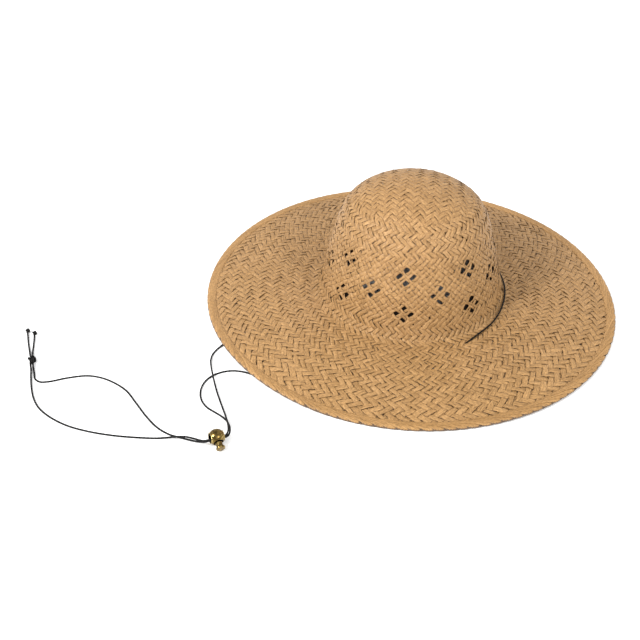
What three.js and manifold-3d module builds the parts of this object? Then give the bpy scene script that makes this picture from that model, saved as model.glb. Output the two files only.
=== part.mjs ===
// A wide-brimmed straw sun hat with a chin cord and a sprung ball lock.
// Millimetres, +Z up. The hat stands on the hem of its brim, and the origin is on that surface,
// under the middle of the hat. The wearer would look towards FACE_ANGLE, where the chin cord comes out.
import * as THREE from 'three';
import { mergeGeometries, mergeVertices } from 'three/addons/utils/BufferGeometryUtils.js';
import Module from 'manifold-3d';

const wasm = await Module();
wasm.setup();

// ---- driving dimensions ----
const SECTORS = 48; // flats round every ring of the hat
const STRAW = 1.6; // thickness of the woven straw
const BRIM_RADIUS = 210;
const HEM_WIDTH = 7.5;
const HEM_HEIGHT = 3.8;
const HEM_WALL = 0.8;
const HEM_BACK = 1; // thickness of the fold at the brim's very edge
const HEM_SOFTNESS = 0.7; // how far that edge is rounded off
const CREASE_RADIUS = 98; // where the crown turns out into the brim
const CROWN_SHIFT = 2.1; // the crown sits this far to +X of the brim's middle
const CROWN_LEAN = 0.02; // and leans back to -X by this much of its height
const WIRE_DIAMETER = 1.6;
const WIRE_INSET = 2.3; // from the brim's edge to the middle of the wire
const BAND_BOTTOM = 12.5; // heights of the sweatband's two edges
const BAND_TOP = 40;
const BAND_THICKNESS = 0.8;
const BAND_CLEARANCE = 0.5; // between the band and the straw
const CORD_DIAMETER = 1.7;
const CORD_SIDES = 8;
const FACE_ANGLE = 206; // degrees round from +X
const BACK_ANGLE = FACE_ANGLE - 180;

// The middle of the straw's thickness as [radius, height], from the top of the crown outwards.
// The crown is one weave, in two nodes: its tip ends at point TIP_END and its side starts at the next.
const CROWN_LINE = [
  [0, 124.7], [19, 123.2], [37, 118.6], [52.8, 111], [65, 100.8], [65.4, 100.2], [73.2, 86],
  [78.8, 68], [84.5, 50], [90, 25], [93.2, 12.5], [95.2, 7.8], [96.6, 6.2],
];
const TIP_END = 4;
const BRIM_LINE = [
  [97.4, 5.6], [102, 4.7], [112, 5.1], [130, 5.6], [155, 5.4], [180, 4], [196, 2.4], [203, 1.9], [206.2, 1.9],
];

// The air vents: three rings of clusters, each a diamond of four holes that follow the diagonal weave.
const VENT_RING_HEIGHTS = [67.6, 49.7, 31.1];
const VENT_CLUSTERS = 8;
const VENT_TURN = -10; // degrees, how far the first cluster is turned from the -Y side
const VENT_SPREAD = 6.7; // from a cluster's middle to each of its holes
const VENT_HOLE = [4.6, 3.2];
const VENT_TILT = 40; // degrees, the slope of a hole's long side

// The brim rests on four low stretches of its hem and rises between them, most where the cords pass.
const REST_ANGLE = 78.75; // the middle of the first low stretch
const RIPPLE_HEIGHT = 0.9;
const RIPPLE_FLAT = 0.06; // share of the ripple that is cut off flat at its low places
const CORD_LIFT = 1.9;
const CORD_LIFT_ANGLE = 214;
const CORD_LIFT_WIDTH = 22;

// The cord lock: a hollow ball with a sprung plunger. p points out along the plunger, c along the
// hole that the two cords pass through, and q across them.
const BALL_RADIUS = 7;
const BALL_CENTRE = new THREE.Vector3(-178, -221.6, 7.05);
const PLUNGER_YAW = 23.5; // degrees
const PLUNGER_PITCH = 16;
const CORD_RISE = 8; // how far the cords' hole is rolled up about the plunger, on the side away from the hat
const CORD_HOLE_RADIUS = 4.2;
const BORE_RADIUS = 3.05;
const BORE_END = -5.5; // along p
const PLUNGER_RADIUS = 2.65;
const CAP_RADIUS = 3.8;
const PLUNGER_INNER = -0.6;
const PLUNGER_OUTER = 12;
const CAP = { neck: 2.2, rim: 1.2, edge: 0.4, chamfer: 0.6 }; // heights down from the cap's face
const LOCK_SIDES = 20; // flats round the lock's bores and plunger
const SLOT = { from: 0.6, to: 5.7, width: 4.3 };
const SPRING = { from: -5.25, to: -0.85, radius: 2.0, wire: 0.4, turns: 3.5, stepsPerTurn: 12 };
const CORDS_AT_P = 1.7; // where the two cords lie in the lock
const CORDS_AT_Q = 0.95;

const deg = THREE.MathUtils.degToRad;

// ---- materials ----
function finish(color, roughness, metalness = 0) {
  return new THREE.MeshStandardMaterial({ color, roughness, metalness });
}
const straw = finish(0xcda573, 0.75);
const hemStraw = finish(0xc79d6a, 0.75);
const cordBlack = finish(0x14120f, 0.5);
const cotton = finish(0x2b2420, 0.9);
const steelWire = finish(0x9a9a96, 0.35, 1);
const oldBrass = finish(0x8a6a34, 0.35, 1);

// ---- helpers ----
function signedVolume(geometry) {
  const p = geometry.attributes.position;
  const [a, b, c] = [new THREE.Vector3(), new THREE.Vector3(), new THREE.Vector3()];
  let total = 0;
  for (let i = 0; i < geometry.index.count; i += 3) {
    a.fromBufferAttribute(p, geometry.index.getX(i));
    b.fromBufferAttribute(p, geometry.index.getX(i + 1));
    c.fromBufferAttribute(p, geometry.index.getX(i + 2));
    total += a.dot(b.cross(c)) / 6;
  }
  return total;
}

// Keeps only positions, joins shared vertices, drops empty triangles and makes the faces point out.
function closed(geometry) {
  const bare = geometry.clone();
  bare.deleteAttribute('normal');
  bare.deleteAttribute('uv');
  const merged = mergeVertices(bare, 1e-4);
  const kept = [];
  for (let i = 0; i < merged.index.count; i += 3) {
    const corners = [0, 1, 2].map((k) => merged.index.getX(i + k));
    if (new Set(corners).size === 3) kept.push(corners);
  }
  merged.setIndex(kept.flat());
  if (signedVolume(merged) < 0) merged.setIndex(kept.map(([a, b, c]) => [a, c, b]).flat());
  return merged;
}

function toSolid(geometry) {
  const g = closed(geometry);
  const vertProperties = new Float32Array(g.attributes.position.array);
  const triVerts = new Uint32Array(g.index.array);
  return new wasm.Manifold(new wasm.Mesh({ numProp: 3, vertProperties, triVerts }));
}

function fromSolid(solid) {
  const mesh = solid.getMesh();
  const g = new THREE.BufferGeometry();
  g.setAttribute('position', new THREE.BufferAttribute(new Float32Array(mesh.vertProperties), 3));
  g.setIndex(new THREE.BufferAttribute(new Uint32Array(mesh.triVerts), 1));
  return g;
}

function named(name, geometry, material) {
  geometry.computeVertexNormals();
  const mesh = new THREE.Mesh(geometry, material);
  mesh.name = name;
  return mesh;
}

// Turns a [radius, height] outline about +Z.
function turned(outline, sectors = SECTORS) {
  const points = outline.map(([r, z]) => new THREE.Vector2(r, z));
  return new THREE.LatheGeometry(points, sectors).rotateX(Math.PI / 2);
}

// The line moved sideways by a distance, positive to the left of its direction.
function offset(line, distance) {
  return line.map(([r, z], i) => {
    const [r0, z0] = line[Math.max(i - 1, 0)];
    const [r1, z1] = line[Math.min(i + 1, line.length - 1)];
    const length = Math.hypot(r1 - r0, z1 - z0);
    const onAxis = r === 0;
    const nr = onAxis ? 0 : -(z1 - z0) / length;
    const nz = onAxis ? 1 : (r1 - r0) / length;
    return [r + nr * distance, z + nz * distance];
  });
}

// A sheet of the given thickness about a line, between two of its points, as a closed outline.
function sheetOutline(line, thickness, first = 0, last = line.length - 1) {
  const outer = offset(line, thickness / 2).slice(first, last + 1);
  const inner = offset(line, -thickness / 2).slice(first, last + 1).reverse();
  const ring = [...outer, ...inner];
  return line[first][0] === 0 ? ring : [...ring, ring[0]];
}

function smooth(x) {
  const t = THREE.MathUtils.clamp(x, 0, 1);
  return t * t * (3 - 2 * t);
}

// How far the brim's edge rises off the surface at an angle in degrees.
function brimRise(angle) {
  const ripple = (1 - Math.cos(deg(4 * (angle - REST_ANGLE)))) / 2;
  const rippled = Math.max(0, ripple - RIPPLE_FLAT) / (1 - RIPPLE_FLAT);
  const away = THREE.MathUtils.euclideanModulo(angle - CORD_LIFT_ANGLE + 180, 360) - 180;
  return RIPPLE_HEIGHT * rippled + CORD_LIFT * Math.exp(-((away / CORD_LIFT_WIDTH) ** 2)) * smooth(rippled * 2);
}

// Gives the turned rings the hat's small lean and the brim's rise and fall.
function settle(geometry) {
  const p = geometry.attributes.position;
  for (let i = 0; i < p.count; i++) {
    const [x, y, z] = [p.getX(i), p.getY(i), p.getZ(i)];
    const outward = smooth((Math.hypot(x, y) - CREASE_RADIUS) / (BRIM_RADIUS - HEM_WIDTH - CREASE_RADIUS));
    const rise = brimRise(THREE.MathUtils.radToDeg(Math.atan2(y, x))) * outward;
    const shift = CROWN_SHIFT * (1 - outward) - CROWN_LEAN * z * (1 - outward);
    p.setXYZ(i, x + shift, y, z + rise);
  }
  return geometry;
}

// A ball-like solid for a knot, with half sizes along X, Y and Z and turned about Z.
function knot(halves, centre, turn) {
  const g = new THREE.SphereGeometry(1, 12, 8).rotateX(Math.PI / 2);
  g.scale(...halves).rotateZ(deg(turn)).translate(...centre);
  return closed(g);
}

// A cord along its route, with one straight length between each point and the next.
function cord(route) {
  const path = new THREE.CatmullRomCurve3(route.map((point) => new THREE.Vector3(...point)));
  path.getUtoTmapping = (u) => u;
  const section = new THREE.Shape();
  for (let i = 0; i < CORD_SIDES; i++) {
    const a = (i * 2 * Math.PI) / CORD_SIDES;
    const [x, y] = [Math.cos(a) * (CORD_DIAMETER / 2), Math.sin(a) * (CORD_DIAMETER / 2)];
    if (i === 0) section.moveTo(x, y);
    else section.lineTo(x, y);
  }
  const steps = route.length - 1;
  return closed(new THREE.ExtrudeGeometry(section, { steps, extrudePath: path }));
}

// ---- the woven hat ----
// The crown's line at a height, as [radius, height, lean in radians].
function crownAt(height) {
  const below = CROWN_LINE.findIndex(([, z]) => z < height);
  const [r0, z0] = CROWN_LINE[below - 1];
  const [r1, z1] = CROWN_LINE[below];
  return [r0 + ((r1 - r0) * (z0 - height)) / (z0 - z1), height, Math.atan2(r1 - r0, z0 - z1)];
}

function ventHole(angle, height, across, up) {
  const [radius, , lean] = crownAt(height + up);
  const hole = new THREE.BoxGeometry(6 * STRAW, ...VENT_HOLE);
  hole.rotateX(deg(VENT_TILT)).rotateY(-lean).translate(radius, 0, height + up);
  return hole.rotateZ(angle + across / radius);
}

function crownTip() {
  return settle(closed(turned(sheetOutline(CROWN_LINE, STRAW, 0, TIP_END))));
}

function crownSide() {
  const holes = [];
  VENT_RING_HEIGHTS.forEach((height, ring) => {
    for (let i = 0; i < VENT_CLUSTERS; i++) {
      const angle = deg(-90 + VENT_TURN + ((i + (ring % 2) / 2) * 360) / VENT_CLUSTERS);
      holes.push(ventHole(angle, height, VENT_SPREAD, 0));
      holes.push(ventHole(angle, height, -VENT_SPREAD, 0));
      holes.push(ventHole(angle, height, 0, VENT_SPREAD));
      holes.push(ventHole(angle, height, 0, -VENT_SPREAD));
    }
  });
  const shell = toSolid(turned(sheetOutline(CROWN_LINE, STRAW, TIP_END + 1)));
  return settle(fromSolid(shell.subtract(toSolid(mergeGeometries(holes)))));
}

// A slot in the brim at each ear, where the cord goes down between the strands.
const EAR_SLOT = { radius: 107.4, height: 5, length: 21, width: 3, fromBack: 91.3, turn: -4 };

function brim() {
  let body = toSolid(settle(turned(sheetOutline(BRIM_LINE, STRAW))));
  for (const side of [-1, 1]) {
    const slot = new THREE.BoxGeometry(EAR_SLOT.width, EAR_SLOT.length, 6 * STRAW);
    slot.rotateZ(deg(side * EAR_SLOT.turn)).translate(EAR_SLOT.radius, 0, EAR_SLOT.height);
    slot.rotateZ(deg(BACK_ANGLE + side * EAR_SLOT.fromBack)).translate(CROWN_SHIFT, 0, 0);
    body = body.subtract(toSolid(slot));
  }
  return fromSolid(body);
}

// The hem is the edge folded over a wire: open inwards, round the brim's own edge.
function hem() {
  const inner = BRIM_RADIUS - HEM_WIDTH;
  const back = BRIM_RADIUS - HEM_BACK;
  const rounded = BRIM_RADIUS - HEM_SOFTNESS;
  const outline = [
    [inner, 0], [rounded, 0], [BRIM_RADIUS, HEM_WALL], [BRIM_RADIUS, HEM_HEIGHT - HEM_WALL],
    [rounded, HEM_HEIGHT], [inner, HEM_HEIGHT], [inner, HEM_HEIGHT - HEM_WALL],
    [back, HEM_HEIGHT - HEM_WALL], [back, HEM_WALL], [inner, HEM_WALL], [inner, 0],
  ];
  return settle(closed(turned(outline)));
}

function hemWire() {
  const outline = [];
  for (let i = 0; i <= 6; i++) {
    const a = (i * Math.PI) / 3;
    const r = WIRE_DIAMETER / 2;
    outline.push([BRIM_RADIUS - WIRE_INSET + r * Math.cos(a), HEM_HEIGHT / 2 + r * Math.sin(a)]);
  }
  return settle(closed(turned(outline)));
}

// The band's line lies just inside the crown's straw, between the band's two heights.
function sweatband() {
  const between = CROWN_LINE.filter(([, z]) => z < BAND_TOP && z > BAND_BOTTOM);
  const along = [crownAt(BAND_TOP), ...between, crownAt(BAND_BOTTOM)];
  const inside = offset(along, -(STRAW / 2 + BAND_CLEARANCE + BAND_THICKNESS / 2));
  return settle(closed(turned(sheetOutline(inside, BAND_THICKNESS))));
}

// ---- the cord lock ----
const plungerAxis = new THREE.Vector3(
  Math.sin(deg(PLUNGER_YAW)) * Math.cos(deg(PLUNGER_PITCH)),
  -Math.cos(deg(PLUNGER_YAW)) * Math.cos(deg(PLUNGER_PITCH)),
  -Math.sin(deg(PLUNGER_PITCH)),
);
const cordAxis = new THREE.Vector3(-Math.cos(deg(PLUNGER_YAW)), -Math.sin(deg(PLUNGER_YAW)), 0);
cordAxis.applyAxisAngle(plungerAxis, -deg(CORD_RISE));
const crossAxis = new THREE.Vector3().crossVectors(cordAxis, plungerAxis);

// The lock's pieces are drawn with +Z along the plunger and +X along the cords, then turned into place.
const lockGroup = new THREE.Group();
lockGroup.setRotationFromMatrix(
  new THREE.Matrix4().makeBasis(cordAxis, new THREE.Vector3().crossVectors(plungerAxis, cordAxis), plungerAxis),
);
lockGroup.position.copy(BALL_CENTRE);

function lockPoint(c, p, q) {
  return BALL_CENTRE.clone()
    .addScaledVector(cordAxis, c)
    .addScaledVector(plungerAxis, p)
    .addScaledVector(crossAxis, q)
    .toArray();
}

function cylinder(radius, from, to) {
  return new THREE.CylinderGeometry(radius, radius, to - from, LOCK_SIDES)
    .rotateX(Math.PI / 2)
    .translate(0, 0, (from + to) / 2);
}

function lockBody() {
  const ball = new THREE.SphereGeometry(BALL_RADIUS, 24, 16).rotateX(Math.PI / 2);
  const bore = cylinder(BORE_RADIUS, BORE_END, 2 * BALL_RADIUS);
  const hole = cylinder(CORD_HOLE_RADIUS, -2 * BALL_RADIUS, 2 * BALL_RADIUS).rotateY(Math.PI / 2);
  return fromSolid(toSolid(ball).subtract(toSolid(bore)).subtract(toSolid(hole)));
}

function lockPlunger() {
  const outline = [
    [0, PLUNGER_INNER], [PLUNGER_RADIUS, PLUNGER_INNER], [PLUNGER_RADIUS, PLUNGER_OUTER - CAP.neck],
    [CAP_RADIUS, PLUNGER_OUTER - CAP.rim], [CAP_RADIUS, PLUNGER_OUTER - CAP.edge],
    [CAP_RADIUS - CAP.chamfer, PLUNGER_OUTER], [0, PLUNGER_OUTER],
  ];
  const slot = new THREE.BoxGeometry(4 * PLUNGER_RADIUS, SLOT.width, SLOT.to - SLOT.from);
  slot.translate(0, 0, (SLOT.from + SLOT.to) / 2);
  return fromSolid(toSolid(turned(outline, LOCK_SIDES)).subtract(toSolid(slot)));
}

function lockSpring() {
  const steps = Math.round(SPRING.turns * SPRING.stepsPerTurn);
  const coil = new THREE.Curve();
  const climb = SPRING.to - SPRING.from - SPRING.wire;
  coil.getPoint = (t) => {
    const a = t * SPRING.turns * 2 * Math.PI;
    const z = SPRING.from + SPRING.wire / 2 + climb * t;
    return new THREE.Vector3(SPRING.radius * Math.cos(a), SPRING.radius * Math.sin(a), z);
  };
  const section = new THREE.Shape();
  section.absarc(0, 0, SPRING.wire / 2, 0, 2 * Math.PI);
  return closed(new THREE.ExtrudeGeometry(section, { steps, curveSegments: 3, extrudePath: coil }));
}

// ---- the cord ----
// Round the back of the crown, as [degrees from the back of the head, radius, height] for one side.
// It lies in the crease, goes down through the brim at the ear and ends under it.
const HAT_CORD_SIDE = [
  [103, 110.6, 1], [99.5, 109.6, 1.5], [95.5, 108.6, 3], [92, 107.8, 4.8], [88.5, 106.6, 6.3],
  [84.5, 104.9, 6.8], [78, 102.8, 6.9], [71, 101.6, 6.9], [64, 100.3, 7.1], [57, 99.2, 7.4],
  [50, 98.3, 7.8], [41, 97.7, 8.1], [30, 97.6, 8.2], [15, 97.6, 8.2], [0, 97.6, 8.2],
];

function crownPoint([fromBack, radius, height], side) {
  const a = deg(BACK_ANGLE + side * fromBack);
  return [CROWN_SHIFT + radius * Math.cos(a), radius * Math.sin(a), height];
}

const hatCordRoute = [
  ...HAT_CORD_SIDE.map((point) => crownPoint(point, -1)),
  ...HAT_CORD_SIDE.slice(0, -1).reverse().map((point) => crownPoint(point, 1)),
];

const lockSpan = [-5, 7]; // the cords run straight for this stretch, so that the lock can slide on them

// From under the left ear, under the brim, through the lock and on to the double knot.
const LEFT_CORD_TO_LOCK = [
  [-68.3, 85.3, 1], [-90, 66, 0.9], [-110, 43, 0.9], [-128, 18, 0.9], [-143.5, -9, 0.9], [-157, -36, 0.9],
  [-168.5, -62, 0.9], [-177.5, -81, 0.9], [-185, -94.5, 0.9], [-190.5, -102.5, 0.9], [-193.8, -110, 1],
  [-194.5, -119, 1.5], [-192.8, -129.5, 2.4], [-190.6, -139, 2.9], [-188, -149, 2.4], [-184.5, -161, 1.4],
  [-180.5, -172.5, 0.9], [-176.5, -184, 1.2], [-173.3, -193.5, 2.4], [-171, -201.5, 3.8],
  [-169.6, -208.5, 5], [-169.2, -214, 6], [-170.3, -218.8, 6.6],
];
const LEFT_CORD_FROM_LOCK = [
  [-187.3, -227.3, 8.4], [-191, -226.3, 8], [-196, -223.6, 7], [-203, -220.1, 5.4], [-210.5, -217.9, 3.4],
  [-219, -217.2, 1.7], [-229, -217.3, 0.9], [-249, -216.2, 0.9], [-267, -214, 0.9], [-288, -209.5, 0.9],
  [-308, -202.5, 0.9], [-325, -192.5, 0.9], [-337.5, -181.5, 0.9], [-345.5, -169.5, 0.9],
  [-351.5, -155.5, 0.9], [-356.2, -141, 0.9], [-359, -131, 1.3], [-361.2, -124.4, 2.4],
];
// The same for the cord from under the right ear.
const RIGHT_CORD_TO_LOCK = [
  [26.1, -108.2, 1], [0, -115.5, 0.9], [-30, -124.5, 0.9], [-60, -133, 0.9], [-90, -140, 0.9],
  [-118, -143.8, 0.9], [-140, -142.3, 0.9], [-154.6, -137.6, 0.9], [-163, -134.4, 0.9], [-171.7, -132.9, 0.9],
  [-181, -134.2, 0.9], [-190.4, -139.4, 0.9], [-196, -146.3, 0.9], [-198.8, -155.1, 0.9],
  [-198.9, -163.9, 0.9], [-196.4, -172.8, 0.9], [-191, -180.8, 0.9], [-183.7, -186.6, 0.9],
  [-177, -192, 0.9], [-171.9, -198.2, 1.3], [-169.2, -204.6, 2.3], [-168, -211, 3.5], [-168.6, -216.6, 4.3],
  [-170.5, -219.4, 4.8],
];
const RIGHT_CORD_FROM_LOCK = [
  [-187.7, -226.8, 6.5], [-191.2, -226.1, 5.9], [-196, -224, 4.5], [-203, -220.4, 2.8], [-210.3, -216.6, 1.3],
  [-219.1, -213, 0.9], [-230.2, -205.3, 0.9], [-242.4, -191.5, 0.9], [-254, -175.2, 0.9], [-265.9, -159.3, 0.9],
  [-279.9, -148.3, 0.9], [-293.4, -141.8, 0.9], [-306, -139.7, 0.9], [-323.4, -142.8, 0.9],
  [-337.2, -147.3, 0.9], [-346.1, -147.9, 0.9], [-351.6, -143.9, 0.9], [-354.2, -137, 0.9],
  [-356.8, -130.2, 1.3], [-358.9, -124.2, 2.4],
];
const leftCordRoute = [
  ...LEFT_CORD_TO_LOCK,
  ...lockSpan.map((c) => lockPoint(c, CORDS_AT_P, CORDS_AT_Q)),
  ...LEFT_CORD_FROM_LOCK,
];
const rightCordRoute = [
  ...RIGHT_CORD_TO_LOCK,
  ...lockSpan.map((c) => lockPoint(c, CORDS_AT_P, -CORDS_AT_Q)),
  ...RIGHT_CORD_FROM_LOCK,
];
const LEFT_TAIL = [[-363.6, -115.6, 2.6], [-365.8, -110.6, 1.4], [-369.5, -101, 0.9], [-373.3, -91, 0.9],
  [-376.4, -81.6, 1.3], [-377.2, -79, 1.7]];
const RIGHT_TAIL = [[-361.2, -115.2, 2.7], [-363.4, -110.2, 1.4], [-365.7, -101, 0.9], [-367.8, -91, 0.9],
  [-369.4, -84, 1.3], [-369.9, -81.8, 1.7]];

// ---- the assembly ----
const hat = new THREE.Group();
hat.add(
  named('crown_tip', crownTip(), straw),
  named('crown_side', crownSide(), straw),
  named('brim', brim(), straw),
  named('brim_hem', hem(), hemStraw),
  named('hem_wire', hemWire(), steelWire),
  named('sweatband', sweatband(), cotton),
  named('crown_cord', cord(hatCordRoute), cordBlack),
  named('chin_cord_left', cord(leftCordRoute), cordBlack),
  named('chin_cord_right', cord(rightCordRoute), cordBlack),
  named('double_knot', knot([3.5, 4, 3], [-361, -119.8, 3.2], 15), cordBlack),
  named('cord_tail_left', cord(LEFT_TAIL), cordBlack),
  named('cord_tail_right', cord(RIGHT_TAIL), cordBlack),
  named('end_knot_left', knot([2.2, 3, 2], [-378.2, -75.6, 2.1], 15), cordBlack),
  named('end_knot_right', knot([2.2, 2.4, 2], [-370.5, -79, 2.1], 12), cordBlack),
);
lockGroup.add(
  named('cord_lock_body', lockBody(), oldBrass),
  named('cord_lock_plunger', lockPlunger(), oldBrass),
  named('cord_lock_spring', lockSpring(), steelWire),
);
hat.add(lockGroup);

export default hat;
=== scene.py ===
"""A straw sun hat, woven strand by strand round its CAD frame, with its waxed chin cord and ball lock.

Lengths are in millimetres times MM, angles in degrees unless a name says otherwise, +Z up.
"""

import math

import bpy
import numpy as np
from mathutils import Matrix, Vector


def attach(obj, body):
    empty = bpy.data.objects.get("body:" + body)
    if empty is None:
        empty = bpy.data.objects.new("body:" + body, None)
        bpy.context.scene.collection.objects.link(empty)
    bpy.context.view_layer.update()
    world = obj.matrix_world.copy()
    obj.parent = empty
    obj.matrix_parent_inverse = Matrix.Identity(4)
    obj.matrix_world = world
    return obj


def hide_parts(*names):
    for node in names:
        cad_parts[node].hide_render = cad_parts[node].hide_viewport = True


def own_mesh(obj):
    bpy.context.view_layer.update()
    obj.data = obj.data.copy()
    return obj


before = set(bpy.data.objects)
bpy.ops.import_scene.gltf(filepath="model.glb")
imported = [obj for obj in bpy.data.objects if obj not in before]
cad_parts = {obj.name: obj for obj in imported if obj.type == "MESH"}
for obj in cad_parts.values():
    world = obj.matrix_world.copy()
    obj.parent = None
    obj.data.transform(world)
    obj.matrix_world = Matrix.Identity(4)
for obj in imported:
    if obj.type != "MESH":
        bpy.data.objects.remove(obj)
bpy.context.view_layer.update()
MM = 0.001
rng = np.random.default_rng(206)

# ---- the hat's form, as in the CAD ----
BRIM_RADIUS = 210.0
HEM_WIDTH = 7.5
CREASE_RADIUS = 98.0
CROWN_SHIFT = 2.1
CROWN_LEAN = 0.02
FACE_ANGLE = 206.0
BACK_ANGLE = FACE_ANGLE - 180.0
STRAW_LINE = [
    (0, 124.7), (19, 123.2), (37, 118.6), (52.8, 111), (65.2, 100.5), (73.2, 86), (78.8, 68), (84.5, 50),
    (90, 25), (93.2, 12.5), (95.2, 7.8), (97.4, 5.6), (102, 4.7), (112, 5.1), (130, 5.6), (155, 5.4),
    (180, 4), (196, 2.4), (206.2, 1.9),
]
REST_ANGLE = 78.75
RIPPLE_HEIGHT = 0.9
RIPPLE_FLAT = 0.06
CORD_LIFT = 1.9
CORD_LIFT_ANGLE = 214.0
CORD_LIFT_WIDTH = 22.0


def add_object(name, data):
    made = bpy.data.objects.new(name, data)
    bpy.context.scene.collection.objects.link(made)
    return made


# ---- camera ----
CAMERA_PLACE = (-0.0925, -0.66981, 0.47971)
CAMERA_ELEVATION = 38.0
CAMERA_LENS = 43.875
SENSOR_WIDTH = 36.0


def add_camera():
    data = bpy.data.cameras.new("camera")
    data.sensor_width = SENSOR_WIDTH
    data.lens = CAMERA_LENS
    camera = add_object("camera", data)
    camera.location = CAMERA_PLACE
    camera.rotation_euler = (math.radians(90.0 - CAMERA_ELEVATION), 0.0, 0.0)
    bpy.context.scene.camera = camera


add_camera()


# ---- mesh helpers ----
CURVE_SAMPLES = 24
# In the bake picture a strip's cell is this many times as long as it is high, with a margin inside it.
CELL_SHAPE = 12.0
CELL_MARGINS = (0.02, 0.06)


def smooth(x):
    t = np.clip(x, 0.0, 1.0)
    return t * t * (3.0 - 2.0 * t)


def distances(path):
    """How far along a path each of its points lies."""
    return np.concatenate([[0.0], np.cumsum(np.linalg.norm(np.diff(path, axis=0), axis=1))])


def curve_through(points, step):
    """Points a step apart on the centripetal Catmull-Rom curve through the given ones."""
    p = np.array(points, float)
    p = np.vstack([2 * p[0] - p[1], p, 2 * p[-1] - p[-2]])
    knots = np.concatenate([[0.0], np.cumsum(np.linalg.norm(np.diff(p, axis=0), axis=1) ** 0.5)])
    found = []
    for i in range(1, len(p) - 2):
        t0, t1, t2, t3 = knots[i - 1 : i + 3]
        t = np.linspace(t1, t2, CURVE_SAMPLES, endpoint=False)[:, None]
        a1 = ((t1 - t) * p[i - 1] + (t - t0) * p[i]) / (t1 - t0)
        a2 = ((t2 - t) * p[i] + (t - t1) * p[i + 1]) / (t2 - t1)
        a3 = ((t3 - t) * p[i + 1] + (t - t2) * p[i + 2]) / (t3 - t2)
        b1 = ((t2 - t) * a1 + (t - t0) * a2) / (t2 - t0)
        b2 = ((t3 - t) * a2 + (t - t1) * a3) / (t3 - t1)
        found.append(((t2 - t) * b1 + (t - t1) * b2) / (t2 - t1))
    fine = np.vstack([*found, p[-2]])
    along = distances(fine)
    wanted = np.linspace(0.0, along[-1], max(2, int(round(along[-1] / step)) + 1))
    return np.column_stack([np.interp(wanted, along, fine[:, k]) for k in range(fine.shape[1])])


def faces_out(grid):
    """True if the tube's faces, taken in the order of its rings, face outwards."""
    p = grid - grid.mean(axis=(0, 1))
    a, b = p[:-1], np.roll(p, -1, axis=1)[:-1]
    c, d = np.roll(p, -1, axis=1)[1:], p[1:]
    return np.sum(a * np.cross(b, c)) + np.sum(a * np.cross(c, d)) > 0


def packed(parts, kind=np.float32):
    return np.concatenate(parts).astype(kind).ravel()


def strips_mesh(name, strips):
    """One mesh of many closed tubes. A strip is (points[rings, sides, 3], length at each ring, tone).

    UVs "strand" run along each strip in metres and across it from 0 to 1. "OFBake" gives each strip a
    cell of its own in one square picture. The attribute "tone" is a number of its own for each strip; a
    negative one paints shade.
    """
    sides = strips[0][0].shape[1]
    columns = max(1, int(round(math.sqrt(len(strips) / CELL_SHAPE))))
    rows = math.ceil(len(strips) / columns)
    points, loops, starts, counts, uv, bake, tones = [], [], [], [], [], [], []
    base, total = 0, 0
    side = np.arange(sides)
    margin_u, margin_v = CELL_MARGINS
    for index, (grid, along, tone) in enumerate(strips):
        rings = grid.shape[0]
        way = 1 if faces_out(grid) else -1
        points.append(grid.reshape(-1, 3))
        tones.append(np.broadcast_to(tone, (rings, sides)).ravel())
        ring = np.arange(rings - 1)[:, None]
        first = base + ring * sides + side
        second = base + ring * sides + (side + 1) % sides
        quads = np.stack([first, second, second + sides, first + sides][::way], axis=-1).reshape(-1, 4)
        across = np.stack([side, side + 1, side + 1, side][::way], axis=-1) / sides
        across = np.broadcast_to(across, (rings - 1, sides, 4)).reshape(-1, 4)
        u = np.stack([along[:-1], along[:-1], along[1:], along[1:]][::way], axis=-1)
        u = np.broadcast_to(u[:, None, :], (rings - 1, sides, 4)).reshape(-1, 4)
        share = (u - along[0]) / max(along[-1] - along[0], 1e-9)
        column, row = index % columns, index // columns
        bake_u = (column + margin_u + (1.0 - 2.0 * margin_u) * share) / columns
        bake_v = (row + margin_v + (1.0 - 2.0 * margin_v) * across) / rows
        uv.append(np.stack([u, across], axis=-1).reshape(-1, 2))
        bake.append(np.stack([bake_u, bake_v], axis=-1).reshape(-1, 2))
        loops.append(quads.reshape(-1))
        starts.append(total + 4 * np.arange(len(quads)))
        counts.append(np.full(len(quads), 4))
        total += 4 * len(quads)
        for end, order, share in ((0, -way, margin_u), (rings - 1, way, 1.0 - margin_u)):
            loops.append((base + end * sides + side)[::order])
            starts.append(np.array([total]))
            counts.append(np.array([sides]))
            uv.append(np.tile([along[end], 0.5], (sides, 1)))
            bake.append(np.tile([(column + share) / columns, (row + 0.5) / rows], (sides, 1)))
            total += sides
        base += rings * sides
    mesh = bpy.data.meshes.new(name)
    mesh.vertices.add(base)
    mesh.vertices.foreach_set("co", packed(points))
    mesh.loops.add(total)
    mesh.loops.foreach_set("vertex_index", packed(loops, np.int32))
    starts = packed(starts, np.int32)
    mesh.polygons.add(len(starts))
    mesh.polygons.foreach_set("loop_start", starts)
    mesh.polygons.foreach_set("loop_total", packed(counts, np.int32))
    mesh.update(calc_edges=True)
    for layer, values in (("strand", uv), ("OFBake", bake)):
        mesh.uv_layers.new(name=layer).data.foreach_set("uv", packed(values))
    mesh.attributes.new("tone", "FLOAT", "POINT").data.foreach_set("value", packed(tones))
    mesh.polygons.foreach_set("use_smooth", np.ones(len(starts), bool))
    mesh.validate()
    return mesh


def finish_piece(piece, body, material, replaced):
    """Gives a piece its material and its body, and hides the CAD nodes it stands for."""
    piece.data.materials.clear()
    piece.data.materials.append(material)
    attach(piece, body)
    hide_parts(*replaced)
    return piece


def add_piece(name, mesh, body, material, replaced):
    return finish_piece(add_object(name, mesh), body, material, replaced)


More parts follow.
